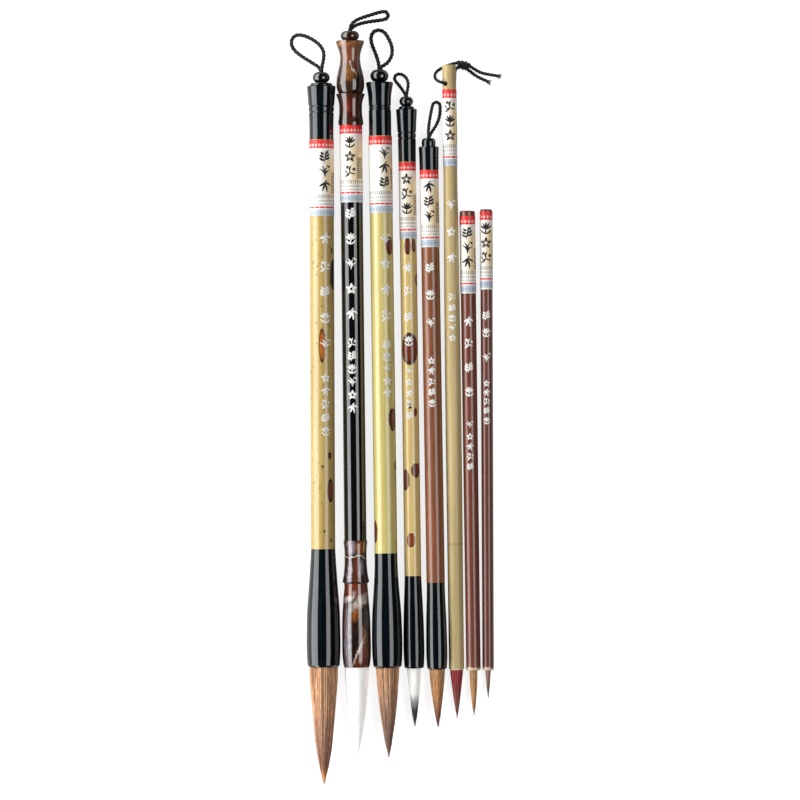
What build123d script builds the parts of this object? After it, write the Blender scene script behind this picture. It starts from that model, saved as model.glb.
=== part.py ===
from build123d import *
import math
import os

# A set of eight Chinese writing and painting brushes laid side by side on a table, with their hanging cords.
# Frame: +X to the right across the set, +Y along the brushes towards their end caps, +Z up from the table.
# The origin is on the table, in the middle of the set without its cords and beads. All sizes in millimetres.
#
# Every brush is turned about its own axis. A station is a distance along that axis from the hair's root face:
# stations grow towards the end cap, and the hair lies at negative stations. An outline is a list of
# (station, radius) points.

# ---------------------------------------------------------------- fits shared by the brushes
GLUE = 0.02  # radial gap of a glued joint
PAPER = 0.11  # thickness of a wrapped paper label
PLUG_LENGTH = 12.0  # of a cap's plug in the handle
GROOVE_RADIUS = 0.4  # of the turned rings round a cap
SEAT_PER_RADIUS = 1.8  # depth of the hair in its socket, in root radii
BINDING_DEPTH = 0.14  # depth of the binding thread, in root radii
BINDING_SPAN = (0.45, 0.8)  # the thread's low and high end, as parts of the seat's depth

# ---------------------------------------------------------------- hanging cords
THICK_CORD = 1.5  # diameter on brushes 1 to 3
THIN_CORD = 1.3  # diameter on brushes 4 to 6
STRAND_GAP = 0.06  # between the two strands that share a hole
HOLE_PLAY = 0.2  # radial play of the two strands in their hole
HOLE_DEPTH = 3.6  # of the blind hole in a cap that holds the glued ends
ARC_SHARE = 0.45  # part of the shorter run that a corner's arc takes

# ---------------------------------------------------------------- the brushes
# root: where the hair's root face meets the axis, seen from above (x, y)
# lean: degrees that the cap's end leans towards -X
# rests: the two (station, radius) places that carry the brush on the table
# handle: (lowest station outside the ferrule, top station, radius)
# tenon: (radius, length) of the handle's end inside the ferrule
# bore: radius of the handle's hollow
# hollow: whether that runs all through, as in bamboo, or only takes the cap's plug
# closed_top: thickness of the handle's end above its hollow, where there is no cap
# label: its (low, high) stations; bead: (low station, height, radius, diameter of its cord)
BRUSH_1 = {
    "root": (-32.2, -106.5),
    "lean": 0.243,
    "rests": [(10.0, 7.135), (243.2, 6.02)],
    "hair": [(-49.5, 0.15), (-42.8, 1.8), (-34.4, 3.25), (-24.4, 4.3), (-14.3, 5.15), (-6, 5.85), (0, 5.95)],
    "ferrule": [(0.6, 6.75), (6, 7.08), (14, 7.1), (24.4, 6.8), (32.8, 6.15), (39.5, 5.67), (49.3, 5.1)],
    "foot": 6.35,
    "handle": (49.3, 220.9, 5.1),
    "tenon": (3.9, 20.0),
    "bore": 2.6,
    "hollow": True,
    "label": (188.8, 220.75),
    "bead": (244.75, 4.6, 3.6, THICK_CORD),
}
BRUSH_2 = {
    "root": (-18.3, -106.8),
    "lean": 0.631,
    "rests": [(12.5, 6.04), (240.2, 6.02)],
    "hair": [(-37.8, 0.15), (-30, 1.75), (-22, 3.05), (-15, 3.95), (-9, 4.55), (-4, 4.95), (0, 5.05)],
    "ferrule": [(0.7, 5.5), (4, 5.9), (12.5, 6.0), (19, 5.92), (27.2, 5.42), (35.0, 4.85)],
    "foot": 5.3,
    "handle": (53.2, 227.4, 4.65),
    "tenon": (3.4, 34.0),
    "bore": 2.4,
    "hollow": False,
    "label": (194.9, 227.25),
    "bead": (262.85, 4.1, 3.95, THICK_CORD),
}
BRUSH_3 = {
    "root": (-5.4, -106.8),
    "lean": 0.79,
    "rests": [(11.0, 6.41), (244.7, 5.71)],
    "hair": [(-37.9, 0.15), (-32.5, 1.3), (-22.4, 2.85), (-17.3, 3.5), (-12.3, 4.02), (-7.3, 4.4), (0, 4.95)],
    "ferrule": [(0.6, 5.95), (5.5, 6.32), (16, 6.33), (23, 6.08), (29.7, 5.58), (38, 5.02), (47.8, 4.8)],
    "foot": 5.5,
    "handle": (47.8, 222.8, 4.8),
    "tenon": (3.7, 20.0),
    "bore": 2.4,
    "hollow": True,
    "label": (190.5, 222.65),
    "bead": (245.5, 5.2, 3.85, THICK_CORD),
}
BRUSH_4 = {
    "root": (5.8, -107.3),
    "lean": 0.80,
    "rests": [(10.0, 4.43), (234.4, 4.43)],
    "hair": [(-24.6, 0.12), (-20, 0.92), (-17, 1.35), (-11, 2.0), (-5, 2.6), (0, 2.95)],
    "ferrule": [(0.5, 4.1), (5, 4.36), (14, 4.38), (22.6, 4.16), (28.5, 3.92), (38.7, 3.52)],
    "foot": 3.7,
    "handle": (38.7, 212.5, 3.52),
    "tenon": (2.5, 16.0),
    "bore": 1.5,
    "hollow": True,
    "label": (180.3, 212.35),
    "bead": (236.0, 3.95, 2.95, THIN_CORD),
}
BRUSH_5 = {
    "root": (15.4, -107.7),
    "lean": 0.92,
    "rests": [(9.0, 4.46), (218.9, 4.26)],
    "hair": [(-24.6, 0.12), (-19.3, 1.08), (-16.4, 1.56), (-10.5, 2.34), (-4.6, 3.0), (0, 3.3)],
    "ferrule": [(0.5, 4.12), (4.5, 4.4), (12, 4.42), (20.2, 4.26), (29, 3.94), (36.3, 3.8)],
    "foot": 3.8,
    "handle": (36.3, 209.6, 3.85),
    "tenon": (2.7, 16.0),
    "bore": 1.6,
    "hollow": False,
    "label": (177.1, 209.45),
}
BRUSH_6 = {
    "root": (23.6, -108.1),
    "lean": 0.716,
    "rests": [(1.0, 3.2), (254.1, 4.5)],
    "hair": [(-20.6, 0.1), (-16, 0.85), (-10.1, 1.6), (-4.2, 2.28), (0, 2.7)],
    "barrel": [(26, 3.2), (70, 3.32), (150, 3.25), (195, 3.0), (208, 2.9)],
    "top": 254.1,
    "bore": 1.3,
    "closed_top": 0.0,
    "label": (211.6, 243.7),
}
BRUSH_7 = {
    "root": (30.7, -108.3),
    "lean": 0.77,
    "rests": [(1.5, 3.05), (158.3, 3.33)],
    "hair": [(-19.1, 0.1), (-15.8, 0.58), (-9.9, 1.24), (-4, 1.58), (0, 1.62)],
    "barrel": [(26, 3.05), (60, 3.1), (110, 3.17), (156, 3.2)],
    "top": 193.0,
    "bore": 1.1,
    "closed_top": 6.0,
    "label": (158.3, 190.8),
}
BRUSH_8 = {
    "root": (36.9, -108.3),
    "lean": 0.25,
    "rests": [(1.5, 2.42), (160.0, 2.68)],
    "hair": [(-11.8, 0.1), (-7, 0.6), (-4.1, 0.8), (0, 1.13)],
    "barrel": [(26, 2.42), (60, 2.46), (110, 2.52), (156, 2.55)],
    "top": 193.7,
    "bore": 0.8,
    "closed_top": 6.0,
    "label": (160.0, 192.8),
}
BRUSHES = {
    1: BRUSH_1, 2: BRUSH_2, 3: BRUSH_3, 4: BRUSH_4, 5: BRUSH_5, 6: BRUSH_6, 7: BRUSH_7, 8: BRUSH_8,
}
END_EDGE = 0.4  # chamfer at the ends of the handles that have no ferrule
CROSS_HOLE_STATION = 246.1  # of the cord's hole through handle 6
CROSS_HOLE_TURN = 36.0  # degrees that this hole is turned from upright, its mouth towards -X
CROSS_HOLE_RADIUS = 1.0
CROSS_HOLE_LENGTH = 10.0  # of its cutter, longer than the handle is thick
PAST = 1.0  # how far a cutter reaches past the face that it opens

# ---------------------------------------------------------------- the end caps
# stretches: the outline from the handle's end to the mouth of the cord's hole, in parts that meet at an edge
# rings: the (station, radius) of the middles of the turned grooves; cord: diameter of the cord that the cap holds
CAP_1 = {
    "stretches": [
        [(220.9, 5.08), (226.8, 5.08), (232.7, 5.27), (236.9, 5.55), (243.2, 6.02)],
        [(243.2, 6.02), (243.5, 5.8)],
        [(243.5, 4.6), (244.1, 4.65), (244.65, 4.3)],
    ],
    "rings": [(232.5, 5.36), (234.8, 5.5)],
    "cord": THICK_CORD,
}
LOWER_CAP_2 = [
    [(227.4, 5.1), (228.5, 5.3)],
    [(228.5, 5.3), (231.3, 4.9), (234.4, 4.77), (237.4, 5.05), (239.0, 5.55), (240.2, 6.0)],
    [(240.2, 6.0), (240.5, 5.9)],
]
UPPER_CAP_2 = [
    [(240.55, 4.8), (242.4, 5.6), (245.2, 5.85), (248.4, 5.45), (251.5, 4.72), (254.8, 4.22)],
    [(254.8, 4.22), (257.8, 4.48), (260.3, 5.28), (262.2, 6.0)],
    [(262.2, 6.0), (262.75, 5.75)],
]
SPIGOT_2 = (2.2, 6.0)  # radius and length of the spigot that joins the two caps of brush 2
SPIGOT_2_OVERLAP = 1.45  # how far the spigot reaches up inside the upper cap, to be one solid with it
CAP_3 = {
    "stretches": [
        [(222.8, 4.7), (236.0, 4.7)],
        [(236.0, 4.7), (239.5, 4.84), (242.2, 5.2), (244.7, 5.7)],
        [(244.7, 5.7), (245.4, 5.55)],
    ],
    "rings": [(234.1, 4.8), (235.3, 4.8)],
    "cord": THICK_CORD,
}
CAP_4 = {
    "stretches": [
        [(212.5, 3.68), (219.0, 3.74), (225.5, 3.92), (230.5, 4.18), (234.4, 4.42)],
        [(234.4, 4.42), (234.7, 4.2)],
        [(234.7, 3.15), (235.2, 3.25), (235.9, 2.75)],
    ],
    "rings": [(222.4, 3.91), (224.7, 3.99)],
    "cord": THIN_CORD,
}
CAP_5 = {
    "stretches": [
        [(209.6, 4.02), (216.0, 4.08)],
        [(216.0, 4.08), (218.9, 4.25)],
        [(218.9, 4.25), (219.3, 4.1)],
        [(219.3, 2.85), (220.6, 2.95), (222.2, 2.75), (222.9, 2.1)],
    ],
    "rings": [],
    "cord": THIN_CORD,
}
CAPS = {1: CAP_1, 3: CAP_3, 4: CAP_4, 5: CAP_5}
# brush 2's ring between the ferrule and the handle
COLLAR_2 = [
    [(35.05, 4.9), (35.9, 5.65)],
    [(35.9, 5.65), (38.0, 5.2), (41.0, 4.82), (45.0, 4.64)],
    [(45.0, 4.64), (49.5, 4.66), (51.4, 4.85), (52.5, 5.05)],
    [(52.5, 5.05), (53.2, 4.8)],
]

# ---------------------------------------------------------------- the cords' routes
# Each route is in the set's frame. On brushes 1 to 5 both ends are glued in the cap's hole, one strand above
# the other; the strands pass through the bead, if there is one, and the loop droops on the table.
ROUTE_1 = [
    (-33.22, 134.3, 6.8), (-33.2, 137.2, 6.84), (-33.2, 140.1, 6.84), (-33.15, 143.2, 6.76),
    (-32.7, 146.1, 6.2), (-32.1, 148.9, 5.3), (-32.2, 151.7, 4.2), (-33.5, 154.1, 3.0),
    (-35.8, 156.2, 2.0), (-38.7, 157.9, 1.3), (-41.7, 158.9, 0.95), (-44.3, 158.8, 0.78),
    (-45.9, 156.9, 0.78), (-45.9, 154.3, 0.8), (-44.3, 152.0, 1.1), (-41.8, 150.0, 1.8),
    (-38.9, 148.1, 2.8), (-36.1, 146.3, 3.9), (-34.0, 144.9, 4.8), (-33.3, 143.0, 5.15),
    (-33.26, 140.1, 5.22), (-33.22, 137.2, 5.2), (-33.22, 134.3, 5.24),
]
ROUTE_2 = [
    (-21.16, 152.1, 6.82), (-21.16, 154.8, 6.87), (-21.2, 157.6, 6.88), (-21.2, 160.5, 6.8),
    (-20.6, 163.0, 6.4), (-18.3, 164.9, 5.6), (-15.2, 166.1, 4.6), (-12.0, 167.2, 3.4),
    (-9.1, 168.2, 2.2), (-6.6, 168.8, 1.3), (-5.45, 168.1, 1.0), (-5.1, 166.8, 0.8),
    (-5.8, 165.65, 0.78), (-8.1, 165.1, 0.8), (-11.0, 164.7, 1.2), (-14.0, 164.2, 1.9),
    (-16.7, 163.5, 2.9), (-19.1, 162.5, 4.15), (-20.9, 161.0, 5.1), (-21.2, 158.3, 5.3),
    (-21.18, 155.3, 5.24), (-21.16, 152.1, 5.28),
]
ROUTE_3 = [
    (-8.74, 134.7, 4.95), (-8.76, 137.7, 4.91), (-8.8, 140.7, 4.92), (-8.84, 143.7, 4.86),
    (-9.1, 146.5, 4.3), (-9.9, 149.4, 3.4), (-11.0, 152.3, 2.4), (-12.1, 155.1, 1.5),
    (-12.5, 158.0, 0.95), (-11.3, 160.4, 0.8), (-8.9, 161.1, 0.78), (-6.6, 160.0, 0.85),
    (-5.1, 157.6, 1.3), (-3.8, 154.8, 2.0), (-3.3, 151.8, 3.0), (-3.9, 148.9, 4.1),
    (-5.8, 146.3, 5.2), (-8.0, 145.2, 6.2), (-8.75, 143.1, 6.45), (-8.8, 140.3, 6.52),
    (-8.78, 137.5, 6.49), (-8.74, 134.7, 6.53),
]
ROUTE_4 = [
    (2.55, 124.8, 5.11), (2.55, 127.4, 5.15), (2.52, 130.0, 5.16), (2.5, 132.6, 5.1),
    (2.9, 135.2, 4.7), (3.4, 137.7, 3.9), (2.9, 140.2, 2.8), (1.3, 142.0, 1.8),
    (-0.7, 142.6, 1.1), (-2.3, 141.7, 0.75), (-2.5, 140.0, 0.68), (-1.3, 138.6, 0.75),
    (0.1, 136.8, 1.4), (1.45, 134.8, 2.7), (2.36, 133.0, 3.68), (2.5, 130.4, 3.76),
    (2.52, 127.6, 3.73), (2.55, 124.8, 3.76),
]
ROUTE_5 = [
    (11.88, 111.3, 4.94), (11.87, 113.4, 4.97), (11.84, 115.6, 4.92), (11.75, 118.0, 4.6),
    (12.0, 121.0, 3.9), (12.5, 124.1, 3.1), (13.1, 127.2, 2.2), (13.65, 129.8, 1.3),
    (14.65, 130.6, 1.0), (15.9, 130.5, 0.75), (16.7, 129.55, 0.68), (16.75, 128.1, 0.68),
    (16.65, 125.6, 0.7), (16.1, 123.1, 0.95), (15.0, 120.7, 1.5), (13.7, 118.6, 2.3),
    (12.5, 116.7, 3.2), (11.9, 114.9, 3.5), (11.86, 113.1, 3.6), (11.88, 111.3, 3.59),
]
# Brush 6's cord is one piece: from the end of one tail, through the knot, round the handle's end and in
# through the cross hole, back under the handle, through the knot again and out to the end of the other tail.
ROUTE_6 = [
    (41.1, 141.6, 0.67), (37.5, 142.2, 0.67), (33.8, 142.9, 0.72), (30.7, 144.7, 1.5),
    (28.2, 146.3, 2.4), (25.9, 147.0, 2.2), (23.3, 147.1, 1.2), (20.3, 146.2, 0.68),
    (17.5, 145.0, 0.7), (15.4, 143.7, 1.2), (14.3, 141.7, 2.85), (14.85, 139.6, 5.65),
    (18.17, 138.0, 7.7), (22.87, 138.0, 1.22), (22.9, 142.1, 0.68), (23.0, 144.3, 0.7),
    (24.4, 145.5, 1.4), (26.7, 145.2, 1.6), (28.9, 143.9, 1.3), (31.2, 142.0, 0.8),
    (33.9, 140.5, 0.67), (36.7, 139.35, 0.67),
]
LONG_TAIL_6 = slice(0, 5)  # of ROUTE_6, up to the knot
LOOP_6 = slice(5, 17)  # from the knot and back to it
SHORT_TAIL_6 = slice(17, 22)
KNOT_CENTRE = (26.5, 146.0, 1.98)
# (place along the knot's axis from its centre, radius)
KNOT_OUTLINE = [(-3.2, 0.9), (-2.0, 1.7), (0, 1.95), (2.0, 1.7), (3.2, 0.9)]
KNOT_TURN = -12.0  # degrees of the knot's long axis from +X


# ---------------------------------------------------------------- turning
def lathe(*stretches, rings=()):
    """A solid turned about the axis. Two points of a stretch make a straight line, more a smooth curve.
    rings: the (station, radius) of the middles of its round grooves."""
    edges = []
    end = None
    for stretch in stretches:
        points = [(radius, station) for station, radius in stretch]
        if end is not None and end != points[0]:
            edges.append(Line(end, points[0]))
        edges.append(Line(*points) if len(points) == 2 else Spline(*points))
        end = points[-1]
    low, low_radius = stretches[0][0]
    edges.append(Polyline(end, (0, end[1]), (0, low), (low_radius, low)))
    outline = make_face(Curve() + edges)
    for station, radius in rings:
        outline -= Pos(radius, station) * Circle(GROOVE_RADIUS)
    return revolve(Plane.XZ * outline, axis=Axis.Z)


def rod(radius, low, high):
    """A cylinder on the axis between two stations."""
    return Pos(0, 0, low) * Cylinder(radius, high - low, align=(Align.CENTER, Align.CENTER, Align.MIN))


def hole_radius(cord):
    """Radius of a hole that holds two strands of the cord, one above the other."""
    return cord + STRAND_GAP / 2 + HOLE_PLAY


# ---------------------------------------------------------------- pieces that most brushes have
def seat_depth(brush):
    """How far the hair reaches into its socket."""
    return SEAT_PER_RADIUS * brush["hair"][-1][1]


def binding_size(brush):
    """Inner radius, outer radius, low and high station of the thread round the hair's root."""
    outer = brush["hair"][-1][1]
    seat = seat_depth(brush)
    low, high = BINDING_SPAN
    return outer * (1 - BINDING_DEPTH), outer, low * seat, high * seat


def hair(brush):
    root = brush["hair"][-1][1]
    seat = seat_depth(brush)
    inner, outer, low, high = binding_size(brush)
    tuft = lathe(brush["hair"]) + rod(root, 0, seat)
    return tuft - (rod(outer + PAST, low, high) - rod(inner, low, high))


def hair_binding(brush):
    inner, outer, low, high = binding_size(brush)
    return rod(outer, low, high) - rod(inner, low, high)


def hair_socket(brush):
    """The cutter of the socket that the hair's root is glued in."""
    return rod(brush["hair"][-1][1] + GLUE, -PAST, seat_depth(brush) + GLUE)


def tenon_socket(brush, high):
    """The cutter of the socket for the handle's tenon, open at the top."""
    radius, length = brush["tenon"]
    shoulder = brush["handle"][0]
    return rod(radius + GLUE, shoulder - length - GLUE, high + PAST)


def ferrule(brush):
    outline = brush["ferrule"]
    body = lathe([(0, brush["foot"]), outline[0]], outline)
    return body - hair_socket(brush) - tenon_socket(brush, outline[-1][0])


def handle(brush):
    """A handle with a tenon below and a bore for the cap's plug above."""
    low, high, radius = brush["handle"]
    tenon_radius, tenon_length = brush["tenon"]
    body = lathe([(low - tenon_length, tenon_radius), (low, tenon_radius)], [(low, radius), (high, radius)])
    bore_low = low - tenon_length - PAST if brush["hollow"] else high - PLUG_LENGTH - PAST
    return body - rod(brush["bore"], bore_low, high + PAST)


def bare_handle(brush):
    """A handle without ferrule or cap: the hair sits in its lower end, which is an exact cylinder."""
    barrel = brush["barrel"]
    low_radius = barrel[0][1]
    top_radius = barrel[-1][1]
    high = brush["top"]
    body = lathe(
        [(0, low_radius - END_EDGE), (END_EDGE, low_radius)],
        [(END_EDGE, low_radius), barrel[0]],
        barrel,
        [barrel[-1], (high - END_EDGE, top_radius)],
        [(high - END_EDGE, top_radius), (high, top_radius - END_EDGE)],
    )
    bore_high = high - brush["closed_top"] if brush["closed_top"] > 0 else high + PAST
    return body - hair_socket(brush) - rod(brush["bore"], 0, bore_high)


def cross_hole():
    """The cutter of the cord's hole through handle 6."""
    upright = Rot(0, 0, -CROSS_HOLE_TURN) * Rot(90, 0, 0)
    return Pos(0, 0, CROSS_HOLE_STATION) * upright * Cylinder(CROSS_HOLE_RADIUS, CROSS_HOLE_LENGTH)


def label(brush, radius):
    """A sheet of paper wrapped round the handle."""
    low, high = brush["label"]
    inner = radius + GLUE
    return rod(inner + PAPER, low, high) - rod(inner, low, high)


def plug(brush):
    """The part of a cap that is glued in the handle's bore."""
    high = brush["handle"][1]
    return rod(brush["bore"] - GLUE, high - PLUG_LENGTH, high)


def cord_hole(cord, mouth):
    """The cutter of the blind hole that holds the cord's ends."""
    return rod(hole_radius(cord), mouth - HOLE_DEPTH, mouth + PAST)


def bead(brush):
    """A round bead that both strands of the cord pass through."""
    low, height, radius, cord = brush["bead"]
    hole = hole_radius(cord)
    side = ThreePointArc((hole, low), (radius, low + height / 2), (hole, low + height))
    return revolve(Plane.XZ * make_face(Curve() + [side, Line(side @ 1, side @ 0)]), axis=Axis.Z)


def ends(stretches):
    """The first and the last station of an outline."""
    return stretches[0][0][0], stretches[-1][-1][0]


def end_cap(brush, cap):
    """A turned cap with its plug, its rings and the hole that the cord's ends are glued in."""
    stretches = cap["stretches"]
    mouth = ends(stretches)[1]
    return lathe(*stretches, rings=cap["rings"]) + plug(brush) - cord_hole(cap["cord"], mouth)


def lower_cap_2():
    """Brush 2's lower cap, with a plug below and a socket above for the upper cap's spigot."""
    radius, length = SPIGOT_2
    mouth = ends(LOWER_CAP_2)[1]
    socket = rod(radius + GLUE, mouth - length - GLUE, mouth + PAST)
    return lathe(*LOWER_CAP_2) + plug(BRUSH_2) - socket


def upper_cap_2():
    """Brush 2's upper cap, which holds the cord."""
    radius, length = SPIGOT_2
    foot, mouth = ends(UPPER_CAP_2)
    spigot = rod(radius, foot - length, foot + SPIGOT_2_OVERLAP)
    return lathe(*UPPER_CAP_2) + spigot - cord_hole(THICK_CORD, mouth)


def ferrule_collar_2():
    """The ring between brush 2's ferrule and its handle; the handle's tenon passes through it."""
    low, high = ends(COLLAR_2)
    tenon_radius, tenon_length = BRUSH_2["tenon"]
    return lathe(*COLLAR_2) - rod(tenon_radius + GLUE, low - PAST, high + PAST)


# ---------------------------------------------------------------- the cords
def corner_radii(route):
    """The radius of the arc at each inner point of a route, as large as its two runs allow."""
    radii = []
    for before, corner, after in zip(route, route[1:], route[2:]):
        run_in = Vector(corner) - Vector(before)
        run_out = Vector(after) - Vector(corner)
        half_turn = math.radians(run_in.get_angle(run_out)) / 2
        radii.append(ARC_SHARE * min(run_in.length, run_out.length) / math.tan(half_turn))
    return radii


def cord_tube(name, route, diameter):
    """A round cord along straight runs joined by tangent arcs. Prints its length, volume and corner radii."""
    radii = corner_radii(route)
    path = FilletPolyline(*route, radius=radii)
    section = Plane(origin=path @ 0, z_dir=path % 0) * Circle(diameter / 2)
    tube = sweep(section, path=path)
    volume_share = tube.volume / (section.area * path.length)
    in_diameters = [round(radius / diameter, 1) for radius in radii]
    print(f"{name}: {path.length:.1f} mm long, volume {volume_share:.4f} of section times length")
    print(f"  corner radii in diameters: {in_diameters}")
    return tube


def knot_6():
    """The outer shape of the knot, a short barrel lying on the table."""
    return Pos(*KNOT_CENTRE) * Rot(0, 0, KNOT_TURN) * Rot(0, 90, 0) * lathe(KNOT_OUTLINE)


CORDS = {
    "brush1_cord": (ROUTE_1, THICK_CORD),
    "brush2_cord": (ROUTE_2, THICK_CORD),
    "brush3_cord": (ROUTE_3, THICK_CORD),
    "brush4_cord": (ROUTE_4, THIN_CORD),
    "brush5_cord": (ROUTE_5, THIN_CORD),
    "brush6_cord_long_tail": (ROUTE_6[LONG_TAIL_6], THIN_CORD),
    "brush6_cord_loop": (ROUTE_6[LOOP_6], THIN_CORD),
    "brush6_cord_short_tail": (ROUTE_6[SHORT_TAIL_6], THIN_CORD),
}


# ---------------------------------------------------------------- placing a brush on the table
def tilt(brush):
    """Degrees that the axis drops from its lower to its upper rest."""
    (low_station, low_radius), (high_station, high_radius) = brush["rests"]
    return math.degrees(math.atan2(low_radius - high_radius, high_station - low_station))


def place(brush):
    """The location that lays a brush on the table."""
    x, y = brush["root"]
    station, radius = brush["rests"][0]
    drop = math.radians(tilt(brush))
    height = radius / math.cos(drop) + station * math.sin(drop)
    return Pos(x, y, height) * Rot(0, 0, brush["lean"]) * Rot(-90 - tilt(brush), 0, 0)


# ---------------------------------------------------------------- the nodes
def ferruled_brush(brush):
    """The pieces of a brush with a ferrule, in its own frame."""
    pieces = {
        "hair": hair(brush),
        "hair_binding": hair_binding(brush),
        "ferrule": ferrule(brush),
        "handle": handle(brush),
        "label": label(brush, brush["handle"][2]),
    }
    if "bead" in brush:
        pieces["bead"] = bead(brush)
    return pieces


def bare_brush(brush):
    """The pieces of a brush without ferrule and cap, in its own frame."""
    return {
        "hair": hair(brush),
        "hair_binding": hair_binding(brush),
        "handle": bare_handle(brush),
        "label": label(brush, brush["barrel"][-1][1]),
    }


def pieces_by_brush():
    """The pieces of every brush, in its own frame: for each brush's number its pieces by name."""
    pieces = {}
    for number, brush in BRUSHES.items():
        pieces[number] = ferruled_brush(brush) if "ferrule" in brush else bare_brush(brush)
    for number, cap in CAPS.items():
        pieces[number]["end_cap"] = end_cap(BRUSHES[number], cap)
    pieces[2]["ferrule_collar"] = ferrule_collar_2()
    pieces[2]["lower_cap"] = lower_cap_2()
    pieces[2]["upper_cap"] = upper_cap_2()
    pieces[6]["handle"] -= cross_hole()
    return pieces


def all_nodes():
    """Every node by name, in the set's frame."""
    nodes = {}
    for number, pieces in pieces_by_brush().items():
        for name, piece in pieces.items():
            nodes[f"brush{number}_{name}"] = place(BRUSHES[number]) * piece
    for name, (route, diameter) in CORDS.items():
        nodes[name] = cord_tube(name, route, diameter)
    nodes["brush6_cord_knot"] = knot_6()
    return nodes


def main():
    os.makedirs("parts", exist_ok=True)
    for name, solid in all_nodes().items():
        export_step(solid, f"parts/{name}.step")


if __name__ == "__main__":
    main()
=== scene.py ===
"""The looks of a set of eight Chinese writing and painting brushes that lie side by side on a white table.

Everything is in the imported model's frame: +X to the right, +Y along the brushes towards their caps, +Z up.
Sizes are written in millimetres and turned into Blender's metres with MM. A station is a distance along a
brush's axis from the hair's root face; it grows towards the cap, and the hair lies at negative stations.
"""

import math
import random

import bpy
from mathutils import Matrix, Vector

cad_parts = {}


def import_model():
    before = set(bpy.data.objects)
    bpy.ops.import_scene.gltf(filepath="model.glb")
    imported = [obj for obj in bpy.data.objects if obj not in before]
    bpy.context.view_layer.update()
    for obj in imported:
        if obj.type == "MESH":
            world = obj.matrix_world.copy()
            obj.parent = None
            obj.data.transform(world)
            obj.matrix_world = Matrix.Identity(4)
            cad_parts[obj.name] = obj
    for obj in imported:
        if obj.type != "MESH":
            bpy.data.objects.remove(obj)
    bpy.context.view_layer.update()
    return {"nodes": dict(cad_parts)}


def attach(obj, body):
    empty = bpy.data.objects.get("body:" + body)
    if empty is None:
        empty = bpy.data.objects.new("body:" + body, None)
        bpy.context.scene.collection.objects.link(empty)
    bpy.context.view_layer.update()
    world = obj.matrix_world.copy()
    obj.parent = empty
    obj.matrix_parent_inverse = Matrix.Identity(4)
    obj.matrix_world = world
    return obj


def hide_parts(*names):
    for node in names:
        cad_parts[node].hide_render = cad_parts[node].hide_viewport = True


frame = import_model()
NODES = frame["nodes"]
MM = 0.001

# -------- the view and the light
PIXEL = 0.42  # mm on the table that one pixel of the picture shows
PICTURE = 800  # pixels on each side
VIEW_CENTRE = (-0.17, 5.25)  # what the middle of the picture shows, in mm
SHARP_HEIGHT = 4.5  # mm above the table, where the scale is exact
LENS = 200.0
SENSOR = 36.0
WHITE = (1.0, 1.0, 1.0)
LIGHTS = {
    "left_light": {"tilt": -65.0, "spread": 47.0, "distance": 600.0, "length": 2600.0, "radiance": 4.35,
                   "color": (0.97, 0.99, 1.0)},
    "right_light": {"tilt": 33.0, "spread": 28.0, "distance": 850.0, "length": 750.0, "radiance": 3.1,
                    "color": WHITE},
}
SKY = 0.02  # the even light from everywhere
FLOOR_SIZE = 6000.0
FLOOR_COLOR = (0.52, 0.52, 0.52)
FLOOR_GLOW = 0.84  # what the table adds to its own light where the camera sees it, close to the brushes
WHITE_REACH = (250.0, 450.0)  # mm from the middle over which that grows to white
FLOOR_SHINE = 0.1  # the same where a reflection sees it: dim, so that black horn keeps its dark edges

# -------- the brushes
# label: its (low, high) stations; radius: of the handle under the label; turn: how far round the handle the
# middle of its decoration lies, in mm to the right of the top
BRUSHES = {
    1: {"label": (188.8, 220.75), "radius": 5.1, "turn": 1.5},
    2: {"label": (194.9, 227.25), "radius": 4.65, "turn": -0.5},
    3: {"label": (190.5, 222.65), "radius": 4.8, "turn": 1.7},
    4: {"label": (180.3, 212.35), "radius": 3.52, "turn": -0.4},
    5: {"label": (177.1, 209.45), "radius": 3.85, "turn": -0.3},
    6: {"label": (211.6, 243.7), "radius": 2.9, "turn": 0.1},
    7: {"label": (158.3, 190.8), "radius": 3.2, "turn": -0.2},
    8: {"label": (160.0, 192.8), "radius": 2.55, "turn": -0.2},
}

# (station, radius) along each tuft, from the root to the tip
HAIR = {
    1: [(0, 5.95), (-6, 5.85), (-14.3, 5.15), (-24.4, 4.3), (-34.4, 3.25), (-42.8, 1.8), (-49.5, 0.15)],
    2: [(0, 5.05), (-4, 4.95), (-9, 4.55), (-15, 3.95), (-22, 3.05), (-30, 1.75), (-37.8, 0.15)],
    3: [(0, 4.95), (-7.3, 4.4), (-12.3, 4.02), (-17.3, 3.5), (-22.4, 2.85), (-32.5, 1.3), (-37.9, 0.15)],
    4: [(0, 2.95), (-5, 2.6), (-11, 2.0), (-17, 1.35), (-20, 0.92), (-24.6, 0.12)],
    5: [(0, 3.3), (-4.6, 3.0), (-10.5, 2.34), (-16.4, 1.56), (-19.3, 1.08), (-24.6, 0.12)],
    6: [(0, 2.7), (-4.2, 2.28), (-10.1, 1.6), (-16, 0.85), (-20.6, 0.1)],
    7: [(0, 1.62), (-4, 1.58), (-9.9, 1.24), (-15.8, 0.58), (-19.1, 0.1)],
    8: [(0, 1.13), (-4.1, 0.8), (-7, 0.6), (-11.8, 0.1)],
}


# -------- a brush's own frame
def around(side, other, angle):
    """The direction at an angle from one direction towards another that is across it."""
    return math.cos(angle) * side + math.sin(angle) * other


def angles(count):
    """Equal steps round a full turn."""
    return [2 * math.pi * k / count for k in range(count)]


def ring_centre(vertices):
    """The middle of the box around some points of a turned piece."""
    low = Vector([min(v[i] for v in vertices) for i in range(3)])
    high = Vector([max(v[i] for v in vertices) for i in range(3)])
    return (low + high) / 2


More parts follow.
